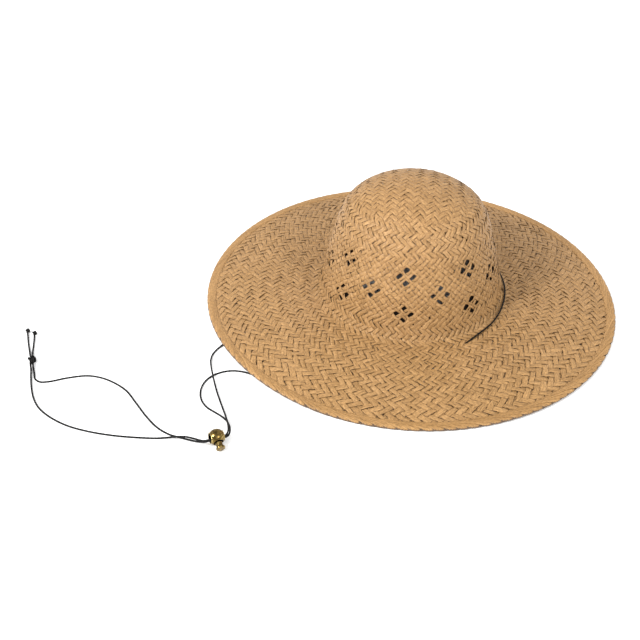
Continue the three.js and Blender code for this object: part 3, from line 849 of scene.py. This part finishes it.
def polar_strand(first_zone, bases, hand):
    """A strand from where it comes in to the hem: its rows, points, distance along it, and tone."""
    if first_zone == 0:
        begin = FIRST_ROW - rng.uniform(*FIRST_START)
    else:
        begin = rows.zones[first_zone] - BLEND_ROWS * rng.uniform(*LATER_START)
    begin = round(begin * SAMPLES_PER_ROW) / SAMPLES_PER_ROW
    n = np.arange(begin, LAST_ROW + 0.01, 1.0 / SAMPLES_PER_ROW)
    s = rows.s_of(n)
    angle = math.radians(VENT_ANGLE) + strand_angle(first_zone, bases, n) + hand * rows.drift(n)
    radius = straw.at(s)[0]
    turning = np.gradient(angle, n) * radius
    outward = np.gradient(s, n)
    length = np.hypot(turning, outward)
    tangent = np.stack([turning, outward], axis=-1) / length[:, None]
    lateral = np.stack([-tangent[:, 1], tangent[:, 0]], axis=-1)
    pitch = (2.0 * math.pi * radius / rows.count_at(n)) * outward / length
    width = pitch * (1.0 + rng.uniform(*WIDTH_SPREAD) + wander(len(n), WIDTH_WANDER))
    if first_zone > 0:
        grown = smooth((n - n[0]) / BLEND_ROWS)
        width = width * (NEW_STRAND_WIDTH + (1.0 - NEW_STRAND_WIDTH) * grown)
    lift = OVER_UNDER * hand * over_under(n) + wander(len(n), LIFT_WANDER)
    lift = lift - TUCK * (1.0 - smooth((n - n[0]) / 2.0))
    q = STRAND_SECTION[:, 0][None, :] * width[:, None] + wander(len(n), SIDEWAYS)[:, None]
    around = angle[:, None] + q * lateral[:, :1] / radius[:, None]
    along = s[:, None] + q * lateral[:, 1:]
    around, along = open_vents(around, along, angle, s, tangent, lateral, hand)
    points = place(around, along, skin_lifts(lift, TILT_WANDER))
    distance = np.concatenate([[0.0], np.cumsum(length[1:] * np.diff(n))]) * MM
    return n, points, distance, rng.uniform()


def disc_side(k, i, hand):
    """+1 where the first set of the disc's strands lies on top, at the crossing k of strand i."""
    return np.where((hand * (k - i)) % 4 < 2, 1, -1)


def disc_strands():
    """The crown's flat top, a square 2/2 twill of two crossing sets of straight strands."""
    edge = straw.s_of_radius(DISC_RADIUS)
    limit = int(edge / DISC_PITCH) + 1
    strips = []
    for hand in (1, -1):
        for i in range(-limit, limit + 1):
            off = (i + 0.5) * DISC_PITCH
            if abs(off) > edge - 2.0:
                continue
            half = math.sqrt(edge**2 - off**2)
            ends = [-half - rng.uniform(*DISC_END_SPREAD), half + rng.uniform(*DISC_END_SPREAD)]
            reach = np.round(np.array(ends) / DISC_PITCH * SAMPLES_PER_ROW) / SAMPLES_PER_ROW
            n = np.arange(reach[0], reach[1] + 0.01, 1.0 / SAMPLES_PER_ROW)
            k = np.floor(n - 0.5).astype(int)
            share = smooth(n - 0.5 - k)
            side = disc_side(k, i, hand) * (1.0 - share) + disc_side(k + 1, i, hand) * share
            from_end = np.minimum(n - n[0], n[-1] - n)
            lift = DISC_OVER_UNDER * hand * side + wander(len(n), DISC_LIFT_WANDER)
            lift = lift - DISC_END_DROP * (1.0 - smooth(from_end / 1.2))
            width = DISC_PITCH * (1.0 + rng.uniform(*DISC_WIDTH_SPREAD))
            q = STRAND_SECTION[:, 0] * width + off
            u = np.broadcast_to((n * DISC_PITCH)[:, None], (len(n), len(q)))
            v = np.broadcast_to(q[None, :], u.shape) + wander(len(n), DISC_SIDEWAYS)[:, None]
            x, y = (u, v) if hand > 0 else (v, u)
            around = np.arctan2(y, x) + math.radians(DISC_TURN)
            points = place(around, np.hypot(x, y), skin_lifts(lift, DISC_TILT_WANDER))
            strips.append((points, (n - n[0]) * DISC_PITCH * MM, rng.uniform()))
    return strips


# The weave is cut into pieces at these rows: the shoulder, the crease and half way out on the brim.
SHOULDER_ROW = round(rows.row_of(straw.s_of_height(99.0)))
CREASE_ROW = round(rows.row_of(straw.s_of_radius(96.2)))
MIDDLE_ROW = round(rows.row_of(straw.s_of_radius(128.0)))
WEAVE_PIECES = [
    ("crown_top_weave", -1e9, SHOULDER_ROW, ["crown_tip"]),
    ("crown_side_weave", SHOULDER_ROW, CREASE_ROW, ["crown_side"]),
    ("brim_inner_weave", CREASE_ROW, MIDDLE_ROW, ["brim"]),
    ("brim_outer_weave", MIDDLE_ROW, 1e9, ["brim"]),
]


def add_weave(material):
    strips = {name: [] for name, *_ in WEAVE_PIECES}
    strips["crown_top_weave"] = disc_strands()
    for hand in (1, -1):
        for first_zone, angles in strands_of_hand(hand):
            n, points, distance, tone = polar_strand(first_zone, angles, hand)
            for name, start, end, _ in WEAVE_PIECES:
                inside = (n > start - 0.01) & (n < end + 0.01)
                if inside.sum() > 3:
                    strips[name].append((points[inside], distance[inside], tone))
    for name, _, _, replaced in WEAVE_PIECES:
        add_piece(name, strips_mesh(name, strips[name]), "hat", material, replaced)


# ---- the hem ----
LOBES = 128
HEM_LINE = [
    (200.4, 2.7), (202.5, 3.35), (205, 3.6), (207.2, 3.65), (208.8, 3.3), (209.6, 2.5), (209.75, 1.6),
    (209.5, 0.85), (208.7, 0.4), (206.8, 0.32), (203.5, 0.4), (200.8, 0.7),
]
# Each folded strand runs nearly along the edge on top, turns over it, and goes back in below:
# how many lobes it has gone round, and how far along the hem's outline.
HEM_ROUTE = [
    (0, 0.6), (1.3, 2.4), (2.6, 4.8), (3.5, 7.6), (4.1, 11.2), (4.8, 14.2), (5.9, 17.8), (6.8, 20.0),
]
HEM_STEP = 0.8
HEM_POINTS = 7
HEM_THICKNESS = 0.3
HEM_SHINGLE = 0.4
HEM_OVERLAP = 1.3
HEM_WIDTHS = (2.6, 7.2)
HEM_SPREAD = 0.08
HEM_SHIFT = 0.25
HEM_FLOOR_GAP = 0.03
HEM_FLAT_CROWN = 0.1
HEM_EDGE_CROWN = 0.5
EDGE_FROM = 6.4
# Painted shade along the hem's lower edge: where it starts round the outline, its notch, where it ends, how
# deep.
SHADE_FROM = 9.9
SHADE_NOTCH = 1.5
SHADE_TO = 14.5
SHADE_DEPTH = 2.5


def hem_strips():
    """Each strip is one strand end folded over the wire. Its tone is negative where painted shade darkens
    the lower edge.
    """
    line = curve_through(HEM_LINE, 0.25)
    marks = distances(line)
    along_line = np.gradient(line, marks, axis=0)
    outwards = np.column_stack([-along_line[:, 1], along_line[:, 0]])
    unit = 2.0 * math.pi * BRIM_RADIUS / LOBES
    route = curve_through(np.array(HEM_ROUTE) * (unit, 1.0), HEM_STEP)
    tangent = np.gradient(route, axis=0)
    tangent /= np.linalg.norm(tangent, axis=1)[:, None]
    lateral = np.column_stack([-tangent[:, 1], tangent[:, 0]])
    spacing = unit * np.abs(tangent[:, 1])
    across = np.linspace(-0.5, 0.5, HEM_POINTS)
    skin = np.concatenate([across, across[::-1]])
    face = np.concatenate([np.full(HEM_POINTS, 0.5), np.full(HEM_POINTS, -0.5)])
    dome = 1.0 - (2.0 * skin) ** 2
    distance = HEM_STEP * np.arange(len(route)) * MM
    strips = []
    for lobe in range(LOBES):
        width = np.clip(HEM_OVERLAP * spacing, *HEM_WIDTHS) * (1.0 + rng.uniform(-HEM_SPREAD, HEM_SPREAD))
        q = skin[None, :] * width[:, None]
        shift = rng.uniform(-HEM_SHIFT, HEM_SHIFT)
        p = np.clip(route[:, 1:] + shift + q * lateral[:, 1:], 0.0, marks[-1])
        angle = (lobe + rng.uniform(-HEM_SPREAD, HEM_SPREAD)) * unit / BRIM_RADIUS
        angle = angle + (route[:, :1] + q * lateral[:, :1]) / BRIM_RADIUS
        crown = HEM_FLAT_CROWN + (HEM_EDGE_CROWN - HEM_FLAT_CROWN) * smooth((p - EDGE_FROM) / 3.0)
        lift = HEM_SHINGLE * skin - crown * (1.0 - dome) + face * HEM_THICKNESS
        r, z, out_r, out_z = [np.interp(p, marks, column) for column in (*line.T, *outwards.T)]
        points = settle(r + out_r * lift, angle, np.maximum(z + out_z * lift, HEM_FLOOR_GAP))
        # Painted shade along the lower edge, notched between the lobes.
        shade = smooth((p - SHADE_FROM + SHADE_NOTCH * (1.0 - dome)) / 0.6) * smooth((SHADE_TO - p) / 2.0)
        strips.append((points, distance, rng.uniform() - SHADE_DEPTH * shade))
    return strips


def add_hem(material):
    mesh = strips_mesh("hem_strands", hem_strips())
    add_piece("hem_strands", mesh, "hat", material, ["brim_hem"])


# ---- the sweatband ----
BAND_BOTTOM = 12.5
BAND_TOP = 40.0
BAND_THICKNESS = 0.8
BAND_INSET = 1.7
BAND_RIBS = 420
BAND_RIB_HEIGHT = 0.09
BAND_ROWS = 12


def add_sweatband(material):
    """A ribbed cotton strip inside the crown, thinner at both edges."""
    heights = np.linspace(BAND_BOTTOM, BAND_TOP, BAND_ROWS)
    crown = straw.r < CREASE_RADIUS
    radius = np.interp(-heights, -straw.z[crown], straw.r[crown]) - BAND_INSET
    steps = 2 * BAND_RIBS
    angle = np.linspace(0.0, 2.0 * math.pi, steps + 1)
    rib = BAND_RIB_HEIGHT * np.cos(np.arange(steps + 1) * math.pi)
    from_middle = np.abs(2.0 * (heights - BAND_BOTTOM) / (BAND_TOP - BAND_BOTTOM) - 1.0)
    thin_edge = 1.0 - 0.6 * (from_middle > 0.9)
    skins = []
    for side in (1, -1):
        offset = side * BAND_THICKNESS / 2 * thin_edge
        order = slice(None, None, side)
        r = (radius + offset)[order][None, :] + side * rib[:, None]
        z = np.broadcast_to(heights[order][None, :], r.shape)
        skins.append(settle(r, angle[:, None], z))
    grid = np.concatenate(skins, axis=1)
    distance = angle * radius.mean() * MM
    mesh = strips_mesh("sweatband", [(grid, distance, 0.5)])
    band = add_piece("sweatband_tape", mesh, "hat", material, ["sweatband"])


# ---- the cord lock ----
BALL_RADIUS = 7.0
HOLE_RADIUS = 4.2
BORE_OUTLINE = [(0, -5.5), (3.05, -5.5), (3.05, 3.9), (4.2, 4.7), (4.3, 14), (0, 14)]
BALL_STEPS = 40
RIM_WIDTH = 0.55
RIM_FOOT = 4.0
RIM_TOP = 5.8
PLUNGER_OUTLINE = [
    (0, -0.6), (2.3, -0.6), (2.6, -0.35), (2.9, 5.8), (2.9, 9.6), (3.4, 9.9), (3.8, 10.5), (3.9, 11.1),
    (3.75, 11.6), (3.35, 11.9), (2.9, 12), (2.6, 11.9), (2.3, 11.95), (1.2, 11.95), (0, 11.9),
]
PLUNGER_SLOT = {"from": 0.5, "to": 5.9, "width": 4.4}
SLOT_REACH = 9.0
SPRING = {"from": -5.25, "to": -0.85, "radius": 2.0, "wire": 0.4, "turns": 3.5, "length": 44.0}
SPRING_STEPS = 28
SPRING_SIDES = 10
TURN_STEPS = 64
VOXEL = 0.14
LOCK_MATRIX = Matrix.LocRotScale(
    Vector(BALL_CENTRE * MM),
    Matrix(np.column_stack([CORD_AXIS, np.cross(PLUNGER_AXIS, CORD_AXIS), PLUNGER_AXIS]).tolist()),
    None,
)


def turned_object(name, outline):
    """A closed solid turned about +Z from an outline of (radius, height)."""
    angle = np.arange(TURN_STEPS) * 2.0 * math.pi / TURN_STEPS
    points, faces, starts = [], [], []
    for r, z in outline:
        starts.append(len(points))
        around = angle if r > 0 else angle[:1]
        points += [(r * math.cos(a) * MM, r * math.sin(a) * MM, z * MM) for a in around]
    for i, lower in enumerate(starts[:-1]):
        upper = starts[i + 1]
        for k in range(TURN_STEPS):
            following = (k + 1) % TURN_STEPS
            below = (lower + k, lower + following) if outline[i][0] > 0 else (lower,)
            above = (upper + following, upper + k) if outline[i + 1][0] > 0 else (upper,)
            faces.append(below + above)
    mesh = bpy.data.meshes.new(name)
    mesh.from_pydata(points, [], faces)
    return add_object(name, mesh)


def rod(name, radius, low, high):
    return turned_object(name, [(0, low), (radius, low), (radius, high), (0, high)])


def combine(base, other, operation):
    """Joins or cuts with another object, which is used up."""
    step = base.modifiers.new(operation, "BOOLEAN")
    step.operation = operation
    step.solver = "EXACT"
    step.object = other
    bake_modifiers(base)
    bpy.data.objects.remove(other)


def bake_modifiers(thing):
    graph = bpy.context.evaluated_depsgraph_get()
    made = bpy.data.meshes.new_from_object(thing.evaluated_get(graph))
    thing.modifiers.clear()
    thing.data = made


def rounded(thing, passes):
    """Remeshes a solid finely and softens its edges, as a cast and tumbled piece has them."""
    remesh = thing.modifiers.new("remesh", "REMESH")
    remesh.mode = "VOXEL"
    remesh.voxel_size = VOXEL * MM
    soften = thing.modifiers.new("soften", "SMOOTH")
    soften.factor = 0.5
    soften.iterations = passes
    bake_modifiers(thing)
    thing.data.polygons.foreach_set("use_smooth", np.ones(len(thing.data.polygons), bool))


def finish_lock_piece(thing, body, node, material):
    thing.data.transform(LOCK_MATRIX)
    finish_piece(thing, body, material, [node])


def add_lock_ball(material):
    arc = np.linspace(-math.pi / 2, math.pi / 2, BALL_STEPS + 1)[1:-1]
    half_round = [(BALL_RADIUS * math.cos(a), BALL_RADIUS * math.sin(a)) for a in arc]
    ball = turned_object("lock_ball", [(0, -BALL_RADIUS), *half_round, (0, BALL_RADIUS)])
    across = Matrix.Rotation(math.radians(90.0), 4, "Y")
    for turn in (across, Matrix.Rotation(math.radians(180.0), 4, "Z") @ across):
        rim = rod("rim", HOLE_RADIUS + RIM_WIDTH, RIM_FOOT, RIM_TOP)
        rim.data.transform(turn)
        combine(ball, rim, "UNION")
    combine(ball, turned_object("bore", BORE_OUTLINE), "DIFFERENCE")
    hole = rod("hole", HOLE_RADIUS, -2 * BALL_RADIUS, 2 * BALL_RADIUS)
    hole.data.transform(across)
    combine(ball, hole, "DIFFERENCE")
    rounded(ball, 8)
    finish_lock_piece(ball, "cord_lock", "cord_lock_body", material)


def add_lock_plunger(material):
    plunger = turned_object("lock_plunger", PLUNGER_OUTLINE)
    slot = rod("slot", SLOT_REACH, PLUNGER_SLOT["from"], PLUNGER_SLOT["to"])
    slot.data.transform(Matrix.Diagonal((1.0, PLUNGER_SLOT["width"] / (2 * SLOT_REACH), 1.0, 1.0)))
    combine(plunger, slot, "DIFFERENCE")
    rounded(plunger, 5)
    finish_lock_piece(plunger, "lock_button", "cord_lock_plunger", material)


def add_lock_spring(material):
    wire = SPRING["wire"]
    turns = np.linspace(0.0, SPRING["turns"], int(SPRING["turns"] * SPRING_STEPS))
    climb = np.clip((turns - 0.5) / (SPRING["turns"] - 1.0), 0.0, 1.0)
    height = SPRING["from"] + wire / 2 + (SPRING["to"] - SPRING["from"] - wire) * climb
    a = 2.0 * math.pi * turns
    path = np.column_stack([SPRING["radius"] * np.cos(a), SPRING["radius"] * np.sin(a), height]) * MM
    grid = path[:, None, :] + ring_directions(path, SPRING_SIDES) * (wire / 2 * MM)
    along = np.linspace(0.0, SPRING["length"] * MM, len(path))
    spring = add_object("lock_spring", strips_mesh("lock_spring", [(grid, along, 0.5)]))
    finish_lock_piece(spring, "cord_lock", "cord_lock_spring", material)
    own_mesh(spring)


# ---- floor and light ----
FLOOR_SIZE = 8.0


def add_floor():
    white = Recipe("white_floor").surface(
        Base_Color=(0.98, 0.98, 0.98), Roughness=1.0, Specular_IOR_Level=0.0
    )
    mesh = bpy.data.meshes.new("floor")
    h = FLOOR_SIZE / 2
    mesh.from_pydata([(-h, -h, 0), (h, -h, 0), (h, h, 0), (-h, h, 0)], [], [(0, 1, 2, 3)])
    mesh.materials.append(white)
    floor = add_object("floor", mesh)


def add_light(name, place_at, size, power):
    data = bpy.data.lights.new(name, "AREA")
    data.shape = "DISK"
    data.size = size
    data.energy = power
    lamp = add_object(name, data)
    lamp.location = place_at
    lamp.rotation_euler = (-Vector(place_at)).to_track_quat("-Z", "Y").to_euler()


def add_studio():
    add_floor()
    add_light("key", (-1.05, -0.65, 1.0), 0.45, 22.0)
    add_light("fill", (0.9, -1.2, 1.1), 0.8, 14.0)
    world = bpy.data.worlds.new("studio")
    world.use_nodes = True
    background = world.node_tree.nodes["Background"]
    background.inputs["Color"].default_value = (1.0, 1.0, 1.0, 1.0)
    background.inputs["Strength"].default_value = 0.98
    bpy.context.scene.world = world
    bpy.context.scene.view_settings.view_transform = "Standard"


# ---- the whole hat ----
straw_tones = ((0.24, 0.14, 0.06), (0.35, 0.212, 0.094), (0.42, 0.262, 0.125))
hem_tones = ((0.24, 0.14, 0.06), (0.36, 0.216, 0.092), (0.44, 0.272, 0.125))
weave_edges = (1 / 12, 7 / 12, 13 / 12)
hem_edges = (-0.5 / 14, 6.5 / 14, 13.5 / 14)
cord = cord_material()
steel = steel_material()
add_cords(cord)
add_weave(straw_material("palm_straw", straw_tones, 0.95, weave_edges, 1 / 12))
add_hem(straw_material("pressed_palm_straw", hem_tones, 0.6, hem_edges, 0.5 / 14))
add_sweatband(tape_material())
add_lock_ball(brass_material("brass_of_ball", 6.9, 7.05))
add_lock_plunger(brass_material("brass_of_plunger", 6.9, 12.5))
add_lock_spring(steel)
hem_wire = bpy.data.objects["hem_wire"].data
hem_wire.materials.clear()
hem_wire.materials.append(steel)
add_studio()
